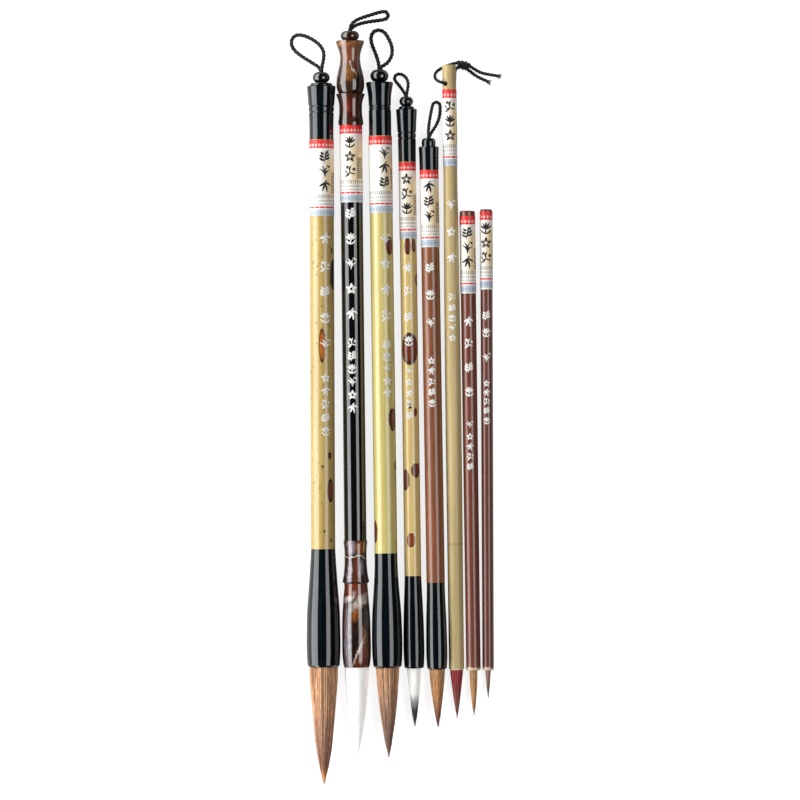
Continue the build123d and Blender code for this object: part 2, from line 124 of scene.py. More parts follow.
class Brush:
    """Where a brush lies, read from its label: its axis's root, and the directions along and across it."""

    def __init__(self, number):
        self.number = number
        self.facts = BRUSHES[number]
        self.body = f"brush{number}"
        vertices = [v.co for v in NODES[f"{self.body}_label"].data.vertices]
        middle = ring_centre(vertices).y
        low = ring_centre([v for v in vertices if v.y < middle])
        high = ring_centre([v for v in vertices if v.y > middle])
        self.along = (high - low).normalized()
        self.right = (Vector((1, 0, 0)) - self.along.x * self.along).normalized()
        self.up = self.right.cross(self.along)
        self.root = low - self.along * self.facts["label"][0] * MM

    def at(self, station, radius=0.0, arc=0.0, reference=1.0):
        """The point at a station and a radius. arc: mm from the top on a circle of the reference radius."""
        across = around(self.up, self.right, arc / reference)
        return self.root + (station * self.along + radius * across) * MM

    def rotation(self):
        """The turn that takes the axes X, Y, Z to right, down and along."""
        return Matrix((self.right, -self.up, self.along)).transposed().to_euler()


# -------- shader nodes
def opaque(value):
    """A colour with its alpha, or a node's socket as it is."""
    return value if isinstance(value, bpy.types.NodeSocket) else (*value, 1.0)


class Graph:
    """A new material's or world's shader nodes. Each call adds one, and returns a socket for the next."""

    def __init__(self, name, kind="materials"):
        self.owner = getattr(bpy.data, kind).new(name)
        self.owner.use_nodes = True
        self.tree = self.owner.node_tree
        self.tree.nodes.clear()

    def node(self, kind, inputs, output=0, **settings):
        made = self.tree.nodes.new("ShaderNode" + kind)
        for key, value in settings.items():
            setattr(made, key, value)
        for key, value in inputs.items():
            if isinstance(value, bpy.types.NodeSocket):
                self.tree.links.new(value, made.inputs[key])
            else:
                made.inputs[key].default_value = value
        return made.outputs[output] if made.outputs else None

    def math(self, operation, a, b=0.0, c=0.0):
        return self.node("Math", {0: a, 1: b, 2: c}, operation=operation)

    def times(self, a, b):
        return self.math("MULTIPLY", a, b)

    def inverse(self, value):
        return self.math("SUBTRACT", 1.0, value)

    def spread(self, value, low, high, start=0.0, end=1.0):
        """Takes low to start and high to end, and what lies between them in proportion."""
        inputs = {"Value": value, "From Min": low, "From Max": high, "To Min": start, "To Max": end}
        return self.node("MapRange", inputs)

    def ramp(self, factor, stops):
        """A colour for each value of the factor. stops: (position, colour)."""
        result = self.node("ValToRGB", {"Fac": factor})
        elements = result.node.color_ramp.elements
        while len(elements) < len(stops):
            elements.new(1.0)
        for element, (position, color) in zip(elements, stops):
            element.position = position
            element.color = opaque(color)
        return result

    def mix(self, factor, a, b, blend="MIX"):
        inputs = {0: factor, 6: opaque(a), 7: opaque(b)}
        return self.node("Mix", inputs, output=2, data_type="RGBA", blend_type=blend)

    def scaled(self, vector, scale, location=(0.0, 0.0, 0.0)):
        return self.node("Mapping", {"Vector": vector, "Scale": scale, "Location": location})

    def noise(self, vector, scale, detail=3.0, roughness=0.5, distortion=0.0):
        inputs = {"Vector": vector, "Scale": scale, "Detail": detail, "Roughness": roughness,
                  "Distortion": distortion}
        return self.node("TexNoise", inputs)

    def step(self, value, edge, soft):
        """0 below the edge and 1 above it."""
        inputs = {"Value": value, "From Min": edge - soft / 2, "From Max": edge + soft / 2}
        return self.node("MapRange", inputs, interpolation_type="SMOOTHSTEP")

    def window(self, value, low, high, soft):
        """1 between low and high, and 0 outside."""
        inside = self.step(value, low, soft)
        return self.math("SUBTRACT", inside, self.step(value, high, soft))

    def wave(self, value, pitch, share, soft):
        """1 for a share of every pitch of the value, and 0 for the rest."""
        turns = self.math("FRACT", self.math("DIVIDE", value, pitch))
        return self.window(turns, (1 - share) / 2, (1 + share) / 2, soft)

    def hatch(self, along, across, pitch, low, high):
        """1 on even bars, a pitch apart, that reach from low to high."""
        return self.times(self.window(across, low, high, 0.1), self.wave(along, pitch, 0.6, 0.1))

    def bump(self, height, distance, strength=1.0):
        return self.node("Bump", {"Height": height, "Distance": distance * MM, "Strength": strength})

    def surface(self, color, roughness, normal=None, **more):
        """Ends a material's nodes with the shader and returns the material."""
        names = {key.replace("_", " ").title().replace("Ior", "IOR"): value for key, value in more.items()}
        inputs = {"Base Color": opaque(color), "Roughness": roughness, **names}
        if normal is not None:
            inputs["Normal"] = normal
        self.node("OutputMaterial", {"Surface": self.node("BsdfPrincipled", inputs)})
        return self.owner


class BrushGraph(Graph):
    """Shader nodes with a brush's own coordinates, in mm: local, station, and arc round the handle."""

    def __init__(self, name, brush):
        super().__init__(f"{name}_{brush.number}")
        object_place = self.node("TexCoord", {}, output="Object")
        place = {"Location": brush.root, "Rotation": brush.rotation(), "Scale": [MM] * 3}
        self.local = self.node("Mapping", {"Vector": object_place, **place}, vector_type="TEXTURE")
        right, down, self.station = self.node("SeparateXYZ", {"Vector": self.local}).node.outputs
        angle = self.math("ARCTAN2", right, self.times(down, -1.0))
        self.arc = self.times(angle, brush.facts["radius"])
        self.flat = self.node("CombineXYZ", {"X": self.arc, "Y": self.station})

    def ragged(self, size, reach):
        """The brush's flat coordinates, pushed about by noise of a size by up to half the reach, in mm."""
        wobble = self.node("TexNoise", {"Vector": self.flat, "Scale": size, "Detail": 3.0}, output="Color")
        centred = self.node("VectorMath", {0: wobble, 1: (0.5, 0.5, 0.0)}, operation="SUBTRACT")
        moved = {0: centred, 1: (reach / 2, reach, 0.0), 2: self.flat}
        return self.node("VectorMath", moved, operation="MULTIPLY_ADD")

    def oval(self, place, station, arc, length, width, slant=0.0):
        """The distance from an oval's middle, which is 1 on its rim. slant: degrees from along the axis."""
        inputs = {"Location": (arc, station, 0.0), "Scale": (width / 2, length / 2, 1.0),
                  "Rotation": (0.0, 0.0, math.radians(-slant))}
        inner = self.node("Mapping", {"Vector": place, **inputs}, vector_type="TEXTURE")
        return self.node("VectorMath", {0: inner}, output="Value", operation="LENGTH")

    def streaks(self, across, along, detail=3.0, seed=0.0):
        """Noise drawn out along the axis: its sizes in mm across and along."""
        vector = self.scaled(self.local, (1 / across, 1 / across, 1 / along), [seed] * 3)
        return self.noise(vector, 1.0, detail)


def rgb(red, green, blue):
    """A shader's colour from a colour on screen, of 0 to 255."""
    shares = [value / 255 for value in (red, green, blue)]
    return tuple(v / 12.92 if v <= 0.04045 else ((v + 0.055) / 1.055) ** 2.4 for v in shares)


# -------- meshes
def in_scene(name, data):
    """A new object in the scene."""
    made = bpy.data.objects.new(name, data)
    bpy.context.scene.collection.objects.link(made)
    return made


class Pieces:
    """Points and faces of one piece, in metres, with a shade from 0 to 1 for each point."""

    def __init__(self):
        self.points, self.faces, self.shades = [], [], []

    def loops(self, rings, shade):
        """Joins rings of equally many points to a tube with closed ends."""
        first = len(self.points)
        sides = len(rings[0])
        for ring in rings:
            self.points.extend(ring)
            self.shades.extend([shade] * sides)
        for k in range(len(rings) - 1):
            low = first + k * sides
            for i in range(sides):
                j = (i + 1) % sides
                self.faces.append((low + i, low + j, low + sides + j, low + sides + i))
        last = first + (len(rings) - 1) * sides
        self.faces.append(tuple(first + i for i in reversed(range(sides))))
        self.faces.append(tuple(last + i for i in range(sides)))

    def tube(self, points, radii, sides, shade):
        """A round tube along points, with a radius at each."""
        rings = []
        for point, radius, (side, other) in zip(points, radii, crossways(points)):
            rings.append([point + radius * around(side, other, angle) for angle in angles(sides)])
        self.loops(rings, shade)

    def build(self, name, material, body, smooth=True):
        mesh = bpy.data.meshes.new(name)
        mesh.from_pydata([tuple(p) for p in self.points], [], self.faces)
        mesh.materials.append(material)
        shade = mesh.attributes.new("shade", "FLOAT", "POINT")
        shade.data.foreach_set("value", self.shades)
        mesh.polygons.foreach_set("use_smooth", [smooth] * len(mesh.polygons))
        made = in_scene(name, mesh)
        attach(made, body)
        return made


def crossways(points):
    """Two directions across a line at each of its points, which don't twist from one point to the next."""
    tangents = []
    for i in range(len(points)):
        tangents.append((points[min(i + 1, len(points) - 1)] - points[max(i - 1, 0)]).normalized())
    side = tangents[0].orthogonal().normalized()
    pairs = []
    for tangent in tangents:
        side = (side - side.dot(tangent) * tangent).normalized()
        pairs.append((side, tangent.cross(side)))
    return pairs


# -------- horn, lacquer and bamboo
def black_horn(brush):
    """Polished black horn with a faint blue-green cast."""
    g = BrushGraph("black_horn", brush)
    color = g.ramp(g.streaks(0.8, 16.0), [(0.35, rgb(2, 8, 10)), (0.8, rgb(12, 24, 28))])
    return g.surface(color, 0.1, specular_ior_level=0.3, coat_weight=1.0, coat_roughness=0.04)


NARROW_PATCH = 2.0  # mm: a patch narrower than this has a firm edge, and the others a soft one
FIRM_EDGE = 0.7  # as a share of half the patch
SOFT_EDGE = 1.15


def marbled_horn(brush, part, patches):
    """Polished horn. patches: (station, arc, length, width, colour), some with a slant."""
    g = BrushGraph(f"horn_{part}", brush)
    field = g.noise(g.scaled(g.local, (0.25, 0.25, 0.1)), 1.0, 4.0, 0.55, 1.2)
    mottle = g.math("MULTIPLY_ADD", g.streaks(0.4, 6.0), 0.3, field)
    color = g.ramp(mottle, [(0.5, HORN_BLACK), (0.8, HORN_BROWN)])
    ragged = g.ragged(0.35, 5.0)
    for station, arc, length, width, shade, *slant in patches:
        distance = g.oval(ragged, station, arc, length, width, *slant)
        edge = FIRM_EDGE if min(length, width) < NARROW_PATCH else SOFT_EDGE
        mask = g.inverse(g.step(distance, 0.95, edge))
        vein = g.spread(g.streaks(0.32, 4.0, seed=station), 0.36, 0.62, 0.3)
        color = g.mix(g.times(mask, vein), color, shade)
    dark_fibre = g.step(g.streaks(0.24, 5.0, seed=4.0), 0.42, 0.16)
    color = g.mix(g.math("MULTIPLY_ADD", dark_fibre, 0.45, 0.55), HORN_BLACK, color)
    return g.surface(color, 0.15, specular_ior_level=0.7, coat_weight=1.0, coat_roughness=0.06)


def lacquer(brush, dark, light, end_color=None, roughness=0.45):
    """Lacquered wood: the grain shows faintly through, and a bare end is another colour."""
    g = BrushGraph("lacquer", brush)
    grain = g.streaks(0.3, 14.0, 4.0)
    color = g.ramp(grain, [(0.3, dark), (0.7, light)])
    if end_color is not None:
        edge = g.math("MULTIPLY_ADD", g.noise(g.local, 1.3, 2.0), 2.2, 0.1)
        color = g.mix(g.math("LESS_THAN", g.station, edge), color, end_color)
    return g.surface(color, roughness, specular_ior_level=0.55, coat_weight=1.0, coat_roughness=0.05)


class Bamboo(BrushGraph):
    """Bamboo skin with fine fibres, to which spots are added."""

    def __init__(self, brush, pale, deep):
        super().__init__("bamboo", brush)
        broad = self.streaks(3.0, 70.0, 2.0, seed=brush.number)
        fibre = self.streaks(0.16, 11.0, 4.0)
        tone = self.math("MULTIPLY_ADD", fibre, 0.5, self.times(broad, 0.5))
        self.color = self.ramp(tone, [(0.32, deep), (0.62, pale)])
        self.rough_place = self.ragged(0.9, 1.6)

    def freckles(self, color, density, size, seed):
        """Small dark dots, a share of them shown."""
        vector = self.scaled(self.flat, (density, density * 0.55, 1.0), (seed, seed, 0.0))
        distance = self.node("TexVoronoi", {"Vector": vector, "Scale": 1.0})
        cell = self.node("SeparateColor", {0: distance.node.outputs["Color"]})
        near = self.inverse(self.step(distance, size, 0.12))
        shown = self.times(near, self.step(cell, 0.62, 0.1))
        self.color = self.mix(shown, self.color, color)

    def spots(self, places, fill, rim, hollow=False):
        """Blotches with a darker rim, each (station, arc, length, width). The skin shows in hollow ones."""
        nearest = None
        for station, arc, length, width in places:
            distance = self.oval(self.rough_place, station, arc, length, width)
            nearest = distance if nearest is None else self.math("MINIMUM", nearest, distance)
        inside = self.inverse(self.step(nearest, 1.0, 0.1))
        middle = self.inverse(self.step(nearest, 0.78, 0.22))
        mottle = self.noise(self.local, 1.1, 3.0)
        filling = self.mix(mottle, fill, tuple(0.6 * c for c in fill))
        if hollow:
            filling = self.mix(0.65, filling, self.color)
        self.color = self.mix(inside, self.color, self.mix(middle, rim, filling))

    def finish(self, roughness, coat):
        normal = self.bump(self.streaks(0.2, 12.0), 0.02, 0.5)
        return self.surface(self.color, roughness, normal, specular_ior_level=0.6, coat_weight=coat,
                            coat_roughness=0.14)


DARK_RIM = rgb(58, 22, 10)


def speckled_bamboo(brush):
    g = Bamboo(brush, rgb(202, 174, 102), rgb(164, 132, 64))
    g.freckles(rgb(96, 60, 24), 0.55, 0.16, 3.0)
    g.freckles(rgb(140, 96, 44), 1.1, 0.2, 8.0)
    g.spots([
        (164.4, 5.9, 13.0, 4.2), (174.5, 4.9, 2.6, 1.2), (161.4, 4.1, 2.6, 0.9), (88.5, 3.2, 3.4, 1.6),
    ], rgb(66, 30, 14), rgb(34, 16, 8))
    g.spots([(134.5, 0.0, 14.7, 2.9)], rgb(190, 108, 34), rgb(70, 36, 12))
    g.spots([(73.7, 3.6, 9.7, 3.3)], rgb(128, 62, 28), rgb(36, 14, 6))
    g.spots([(83.8, 0.0, 1.3, 1.0), (56.8, 0.7, 1.5, 1.1), (52.9, 3.8, 1.7, 1.0)], rgb(96, 54, 26),
            rgb(80, 44, 20))
    g.spots([(75.4, -1.3, 1.9, 1.1)], rgb(186, 150, 80), rgb(110, 80, 44), hollow=True)
    return g.finish(0.3, 0.8)


def golden_bamboo(brush):
    g = Bamboo(brush, rgb(214, 198, 126), rgb(188, 167, 90))
    g.spots([(176.6, 3.7, 7.8, 4.0), (103.9, 4.4, 9.6, 5.0), (84.6, 6.3, 4.4, 3.0), (56.9, -5.4, 9.4, 3.2)],
            rgb(118, 52, 18), DARK_RIM)
    return g.finish(0.3, 0.8)


def blotched_bamboo(brush):
    g = Bamboo(brush, rgb(228, 201, 130), rgb(202, 168, 95))
    g.spots([
        (177.0, -0.4, 7.0, 3.0), (177.4, 2.5, 6.0, 2.3), (163.0, 4.2, 5.6, 2.2), (134.0, 0.0, 13.6, 8.0),
        (110.0, -0.4, 2.3, 2.1), (107.5, 2.2, 3.5, 1.7), (83.0, 2.2, 6.2, 4.6), (79.0, -2.9, 8.8, 4.2),
    ], rgb(124, 47, 14), DARK_RIM)
    g.spots([(53.8, -0.7, 6.2, 3.8)], rgb(156, 68, 18), rgb(96, 36, 10))
    return g.finish(0.3, 0.8)


def plain_bamboo(brush):
    """Unvarnished bamboo with a faint node line and a paler cut at its lower end."""
    g = Bamboo(brush, rgb(203, 180, 124), rgb(173, 149, 94))
    node_line = g.window(g.station, 52.2, 53.4, 0.5)
    g.color = g.mix(g.times(node_line, 0.45), g.color, rgb(150, 124, 78))
    cut = g.math("LESS_THAN", g.station, 0.5)
    g.color = g.mix(cut, g.color, rgb(232, 214, 176))
    return g.finish(0.5, 0.25)


# -------- paper labels
# What is printed on a label, in mm: down from its top edge, or to the right of its middle line
RED_BAND = (-1.0, 3.6)
DIAMOND_PITCH = 1.5
DIAMOND_ROW = 2.3
SMALL_PRINT = [(23.0, 24.6, 0.9), (25.2, 26.1, 0.8), (26.7, 27.4, 0.7)]  # with the pitch of the marks
SIDE_PRINT = (2.9, 6.2)
SIDE_PRINT_ROWS = (13.6, 22.6)
SIDE_PRINT_PITCH = 0.75
THIN_LINE = (28.0, 28.75)
SILVER_BAND = (29.2, 32.1)
SILVER_MARKS = (30.1, 31.3)


def label_paper(brush):
    """A printed label: a red band with diamonds, a cream blush, hatched small print and a silver band."""
    g = BrushGraph("label", brush)
    u = g.math("SUBTRACT", g.arc, brush.facts["turn"])
    t = g.math("SUBTRACT", brush.facts["label"][1], g.station)
    blush = g.times(g.window(u, 0.0, 9.0, 3.0), g.window(t, 7.0, 24.0, 8.0))
    blush = g.times(blush, g.math("MULTIPLY_ADD", g.noise(g.local, 0.35, 3.0), 0.9, 0.35))
    color = g.mix(blush, rgb(247, 243, 236), rgb(246, 212, 150))
    specks = g.step(g.noise(g.local, 2.4, 2.0), 0.66, 0.06)
    color = g.mix(g.times(specks, 0.3), color, rgb(190, 160, 120))

    ink = rgb(46, 38, 34)
    for low, high, pitch in SMALL_PRINT:
        color = g.mix(g.times(g.hatch(u, t, pitch, low, high), 0.55), color, ink)
    column = g.times(g.hatch(t, u, SIDE_PRINT_PITCH, *SIDE_PRINT), g.window(t, *SIDE_PRINT_ROWS, 0.2))
    color = g.mix(g.times(column, 0.9), color, ink)

    red = rgb(228, 42, 40)
    across = g.math("FRACT", g.math("DIVIDE", u, DIAMOND_PITCH))
    across = g.math("ABSOLUTE", g.math("SUBTRACT", across, 0.5))
    down = g.math("ABSOLUTE", g.math("SUBTRACT", t, DIAMOND_ROW))
    diamond = g.math("ADD", g.times(across, 1.5), g.times(down, 0.75))
    band = g.mix(g.step(diamond, 0.58, 0.25), rgb(250, 190, 182), red)
    color = g.mix(g.window(t, *RED_BAND, 0.15), color, band)
    thin_line = g.times(g.window(t, *THIN_LINE, 0.12), g.wave(u, 2.3, 0.9, 0.06))
    color = g.mix(thin_line, color, red)
    marks = g.times(g.window(t, *SILVER_MARKS, 0.2), g.wave(u, 1.35, 0.55, 0.2))
    silver = g.mix(g.times(marks, 0.4), rgb(186, 196, 208), rgb(104, 116, 132))
    color = g.mix(g.window(t, *SILVER_BAND, 0.15), color, silver)
    normal = g.bump(g.noise(g.local, 3.0, 3.0), 0.01, 0.4)
    return g.surface(color, 0.5, normal, coat_weight=0.35, coat_roughness=0.2)


# -------- hair
def hair_look(brush):
    """Fine hair. The colours along it end in a ragged line."""
    g = BrushGraph("hair", brush)
    length = -HAIR[brush.number][-1][0]
    ragged = g.math("MULTIPLY_ADD", g.streaks(0.45, 40.0), 0.2, -0.1)
    share = g.math("MULTIPLY_ADD", g.station, -1 / length, ragged)
    color = g.ramp(share, [(place, rgb(*screen)) for place, *screen in HAIR_COLORS[brush.number]])
    shade = g.node("Attribute", {}, output="Fac", attribute_name="shade")
    contrast = STRAND_CONTRAST[brush.number]
    light = g.spread(shade, 0.0, 1.0, 1.0 - contrast, 1.0 + contrast)
    streak = g.spread(g.streaks(0.22, 6.0), 0.35, 0.65, 1.0 - contrast / 2, 1.0 + contrast / 2)
    tone = g.times(light, streak)
    color = g.mix(1.0, color, g.node("CombineColor", {0: tone, 1: tone, 2: tone}), "MULTIPLY")
    # white tufts get a painted glow here: an emission that lifts their shaded side
    return g.surface(color, 0.38, specular_ior_level=0.45, sheen_weight=0.25, sheen_roughness=0.4,
                     emission_color=color, emission_strength=PAINTED_HAIR_GLOW.get(brush.number, 0.0))


PAINTED_HAIR_GLOW = {2: 0.18, 4: 0.18}  # painted glow: emission on white hair that stands in for the light it passes on from hair to hair
# (share of the length from the root, and then red, green and blue) along each tuft
HAIR_COLORS = {
    1: [(0.0, 218, 167, 122), (0.4, 208, 158, 121), (0.7, 178, 131, 107),
        (0.84, 162, 112, 89), (0.93, 214, 142, 84), (1.0, 236, 172, 108)],
    2: [(0.0, 254, 253, 250), (1.0, 254, 254, 252)],
    3: [(0.0, 216, 164, 122), (0.4, 192, 146, 114), (0.75, 134, 101, 84), (0.9, 126, 92, 77),
        (1.0, 174, 122, 94)],
    4: [(0.0, 253, 252, 247), (0.44, 250, 249, 244), (0.57, 160, 160, 164), (0.72, 52, 52, 60),
        (1.0, 30, 30, 38)],
    5: [(0.0, 199, 149, 98), (0.5, 188, 131, 80), (0.78, 150, 92, 54), (0.92, 70, 44, 32),
        (1.0, 54, 34, 28)],
    6: [(0.0, 176, 50, 58), (0.35, 160, 62, 60), (0.7, 160, 96, 84), (1.0, 150, 96, 80)],
    7: [(0.0, 206, 158, 106), (0.6, 196, 144, 92), (1.0, 156, 106, 66)],
    8: [(0.0, 160, 122, 104), (0.5, 120, 90, 78), (1.0, 70, 52, 48)],
}
# how much lighter and darker than these the strands are, as a share
STRAND_CONTRAST = {1: 0.7, 2: 0.02, 3: 0.75, 4: 0.12, 5: 0.6, 6: 0.6, 7: 0.5, 8: 0.5}
STRANDS = {1: 900, 2: 520, 3: 760, 4: 340, 5: 500, 6: 360, 7: 220, 8: 140}
STRAND_STEPS = 14
STRAND_SIDES = 4
CORE = {2: 0.97, 4: 0.96}  # of the tuft's radius: how far in the strands lie where they lie close
LOOSE_CORE = 0.89
CORE_STEPS = 24
CORE_SIDES = 28
CORE_SHADE = 0.25
ROOT_DEPTH = 0.8  # mm: how deep in its socket the hair starts
GOLDEN_SHARE = 0.61803  # of a turn from each strand to the next, which spreads them evenly
LONG_SHARE = 0.55  # of the strands reach the tip
SHORT_REACH = (0.62, 0.99)  # the share of the way that the others reach
STRAY_SHARE = 0.03  # of the strands stand off at their ends
STRAY_REACH = (0.1, 0.5)  # mm


def tuft_radius(outline, station):
    """The tuft's radius at a station, on a smooth curve through its outline's points."""
    for i in range(len(outline) - 1):
        (high, r1), (low, r2) = outline[i], outline[i + 1]
        if station >= low or i == len(outline) - 2:
            break
    r0 = outline[max(i - 1, 0)][1]
    r3 = outline[min(i + 2, len(outline) - 1)][1]
    t = min(max((high - station) / (high - low), 0.0), 1.0)
    curved = r1 + 0.5 * t * (r2 - r0 + t * (2 * r0 - 5 * r1 + 4 * r2 - r3 + t * (3 * (r1 - r2) + r3 - r0)))
    return max(curved, 0.05)


def tuft(brush):
    """The brush's hair: a closed core with separate fine strands over it that meet at the tip."""
    outline = HAIR[brush.number]
    length = -outline[-1][0]
    chance = random.Random(brush.number)
    core = CORE.get(brush.number, LOOSE_CORE)
    hair = Pieces()
    rings = []
    for k in range(CORE_STEPS + 1):
        station = ROOT_DEPTH - (length - 1.0) * k / CORE_STEPS
        radius = core * tuft_radius(outline, min(station, 0))
        rings.append([brush.at(station, radius, angle) for angle in angles(CORE_SIDES)])
    hair.loops(rings, CORE_SHADE)
    thickness = 0.08 + 0.006 * outline[0][1]
    for k in range(STRANDS[brush.number]):
        angle = 2 * math.pi * (k * GOLDEN_SHARE + chance.uniform(-0.05, 0.05))
        drift = chance.gauss(0, 0.12)
        depth = chance.uniform(core, 1.0)
        reach = length * (1.0 if chance.random() < LONG_SHARE else chance.uniform(*SHORT_REACH))
        stray = chance.uniform(*STRAY_REACH) if chance.random() < STRAY_SHARE else 0.0
        points, radii = [], []
        for step in range(STRAND_STEPS + 1):
            t = step / STRAND_STEPS
            station = ROOT_DEPTH - (reach + ROOT_DEPTH) * t
            radius = depth * tuft_radius(outline, min(station, 0)) + stray * t**3
            points.append(brush.at(station, radius, angle + drift * t))
            radii.append(thickness * (1 - 0.8 * t**2) * MM)
        hair.tube(points, radii, STRAND_SIDES, chance.random())
    made = hair.build(f"{brush.body}_tuft", hair_look(brush), brush.body)
    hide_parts(f"brush{brush.number}_hair")


# -------- cords
# The routes' points, in mm: the same as those of the model's cord tubes. Both ends of cords 1 to 5 are
# glued in the cap, and cord 6 runs from tail to tail.
ROUTES = {
    1: [
        (-33.22, 134.3, 6.8), (-33.2, 137.2, 6.84), (-33.2, 140.1, 6.84), (-33.15, 143.2, 6.76),
        (-32.7, 146.1, 6.2), (-32.1, 148.9, 5.3), (-32.2, 151.7, 4.2), (-33.5, 154.1, 3.0),
        (-35.8, 156.2, 2.0), (-38.7, 157.9, 1.3), (-41.7, 158.9, 0.95), (-44.3, 158.8, 0.78),
        (-45.9, 156.9, 0.78), (-45.9, 154.3, 0.8), (-44.3, 152.0, 1.1), (-41.8, 150.0, 1.8),
        (-38.9, 148.1, 2.8), (-36.1, 146.3, 3.9), (-34.0, 144.9, 4.8), (-33.3, 143.0, 5.15),
        (-33.26, 140.1, 5.22), (-33.22, 137.2, 5.2), (-33.22, 134.3, 5.24),
    ],
    2: [
        (-21.16, 152.1, 6.82), (-21.16, 154.8, 6.87), (-21.2, 157.6, 6.88), (-21.2, 160.5, 6.8),
        (-20.6, 163.0, 6.4), (-18.3, 164.9, 5.6), (-15.2, 166.1, 4.6), (-12.0, 167.2, 3.4),
        (-9.1, 168.2, 2.2), (-6.6, 168.8, 1.3), (-5.45, 168.1, 1.0), (-5.1, 166.8, 0.8),
        (-5.8, 165.65, 0.78), (-8.1, 165.1, 0.8), (-11.0, 164.7, 1.2), (-14.0, 164.2, 1.9),
        (-16.7, 163.5, 2.9), (-19.1, 162.5, 4.15), (-20.9, 161.0, 5.1), (-21.2, 158.3, 5.3),
        (-21.18, 155.3, 5.24), (-21.16, 152.1, 5.28),
    ],
    3: [
        (-8.74, 134.7, 4.95), (-8.76, 137.7, 4.91), (-8.8, 140.7, 4.92), (-8.84, 143.7, 4.86),
        (-9.1, 146.5, 4.3), (-9.9, 149.4, 3.4), (-11.0, 152.3, 2.4), (-12.1, 155.1, 1.5),
        (-12.5, 158.0, 0.95), (-11.3, 160.4, 0.8), (-8.9, 161.1, 0.78), (-6.6, 160.0, 0.85),
        (-5.1, 157.6, 1.3), (-3.8, 154.8, 2.0), (-3.3, 151.8, 3.0), (-3.9, 148.9, 4.1),
        (-5.8, 146.3, 5.2), (-8.0, 145.2, 6.2), (-8.75, 143.1, 6.45), (-8.8, 140.3, 6.52),
        (-8.78, 137.5, 6.49), (-8.74, 134.7, 6.53),
    ],
    4: [
        (2.55, 124.8, 5.11), (2.55, 127.4, 5.15), (2.52, 130.0, 5.16), (2.5, 132.6, 5.1),
        (2.9, 135.2, 4.7), (3.4, 137.7, 3.9), (2.9, 140.2, 2.8), (1.3, 142.0, 1.8),
        (-0.7, 142.6, 1.1), (-2.3, 141.7, 0.75), (-2.5, 140.0, 0.68), (-1.3, 138.6, 0.75),
        (0.1, 136.8, 1.4), (1.45, 134.8, 2.7), (2.36, 133.0, 3.68), (2.5, 130.4, 3.76),
        (2.52, 127.6, 3.73), (2.55, 124.8, 3.76),
    ],
    5: [
        (11.88, 111.3, 4.94), (11.87, 113.4, 4.97), (11.84, 115.6, 4.92), (11.75, 118.0, 4.6),
        (12.0, 121.0, 3.9), (12.5, 124.1, 3.1), (13.1, 127.2, 2.2), (13.65, 129.8, 1.3),
        (14.65, 130.6, 1.0), (15.9, 130.5, 0.75), (16.7, 129.55, 0.68), (16.75, 128.1, 0.68),
        (16.65, 125.6, 0.7), (16.1, 123.1, 0.95), (15.0, 120.7, 1.5), (13.7, 118.6, 2.3),
        (12.5, 116.7, 3.2), (11.9, 114.9, 3.5), (11.86, 113.1, 3.6), (11.88, 111.3, 3.59),
    ],
    6: [
        (41.1, 141.6, 0.67), (37.5, 142.2, 0.67), (33.8, 142.9, 0.72), (30.7, 144.7, 1.5),
        (28.2, 146.3, 2.4), (25.9, 147.0, 2.2), (23.3, 147.1, 1.2), (20.3, 146.2, 0.68),
        (17.5, 145.0, 0.7), (15.4, 143.7, 1.2), (14.3, 141.7, 2.85), (14.85, 139.6, 5.65),
        (18.17, 138.0, 7.7), (22.87, 138.0, 1.22), (22.9, 142.1, 0.68), (23.0, 144.3, 0.7),
        (24.4, 145.5, 1.4), (26.7, 145.2, 1.6), (28.9, 143.9, 1.3), (31.2, 142.0, 0.8),
        (33.9, 140.5, 0.67), (36.7, 139.35, 0.67),
    ],
}
CORD_DIAMETER = {1: 1.5, 2: 1.5, 3: 1.5, 4: 1.3, 5: 1.3, 6: 1.3}
CORD_NODES = {number: [f"brush{number}_cord"] for number in range(1, 6)}
CORD_NODES[6] = ["brush6_cord_loop", "brush6_cord_long_tail", "brush6_cord_short_tail"]
PLIES = 3
TWIST = 3.4  # length of one turn of the plies, in cord diameters
PLY_STEP = 0.16  # from one ring of a ply's points to the next, in cord diameters
PLY_RADIUS = 0.265  # in cord diameters: three round plies that touch look one diameter wide on average
PLY_OFFSET = PLY_RADIUS * 2 / math.sqrt(3)
PLY_SIDES = 8
FRAYED_FIBRES = 40
FIBRE_RADII = (0.12, 0.11, 0.05)  # mm
KNOT = {"centre": (26.5, 146.0, 1.98), "turn": -12.0, "turns": 3, "radius": 1.32, "pitch": 1.55}


def smooth_line(name, route):
    """Points along the NURBS curve whose control points are the route's."""
    curve = bpy.data.curves.new(name, "CURVE")
    curve.dimensions = "3D"
    curve.resolution_u = 12
    spline = curve.splines.new("NURBS")
    spline.points.add(len(route) - 1)
    for point, place in zip(spline.points, route):
        point.co = (*[c * MM for c in place], 1.0)
    spline.order_u = 3
    spline.use_endpoint_u = True
    holder = bpy.data.objects.new(name, curve)
    mesh = bpy.data.meshes.new_from_object(holder)
    line = [v.co.copy() for v in mesh.vertices]
    bpy.data.objects.remove(holder)
    bpy.data.curves.remove(curve)
    bpy.data.meshes.remove(mesh)
    return line


def evenly(line, spacing):
    """Points a spacing apart along a line."""
    points, carried = [line[0]], 0.0
    for start, end in zip(line, line[1:]):
        length = (end - start).length
        place = spacing - carried
        while place <= length:
            points.append(start.lerp(end, place / length))
            place += spacing
        carried = length - (place - spacing)
    return points


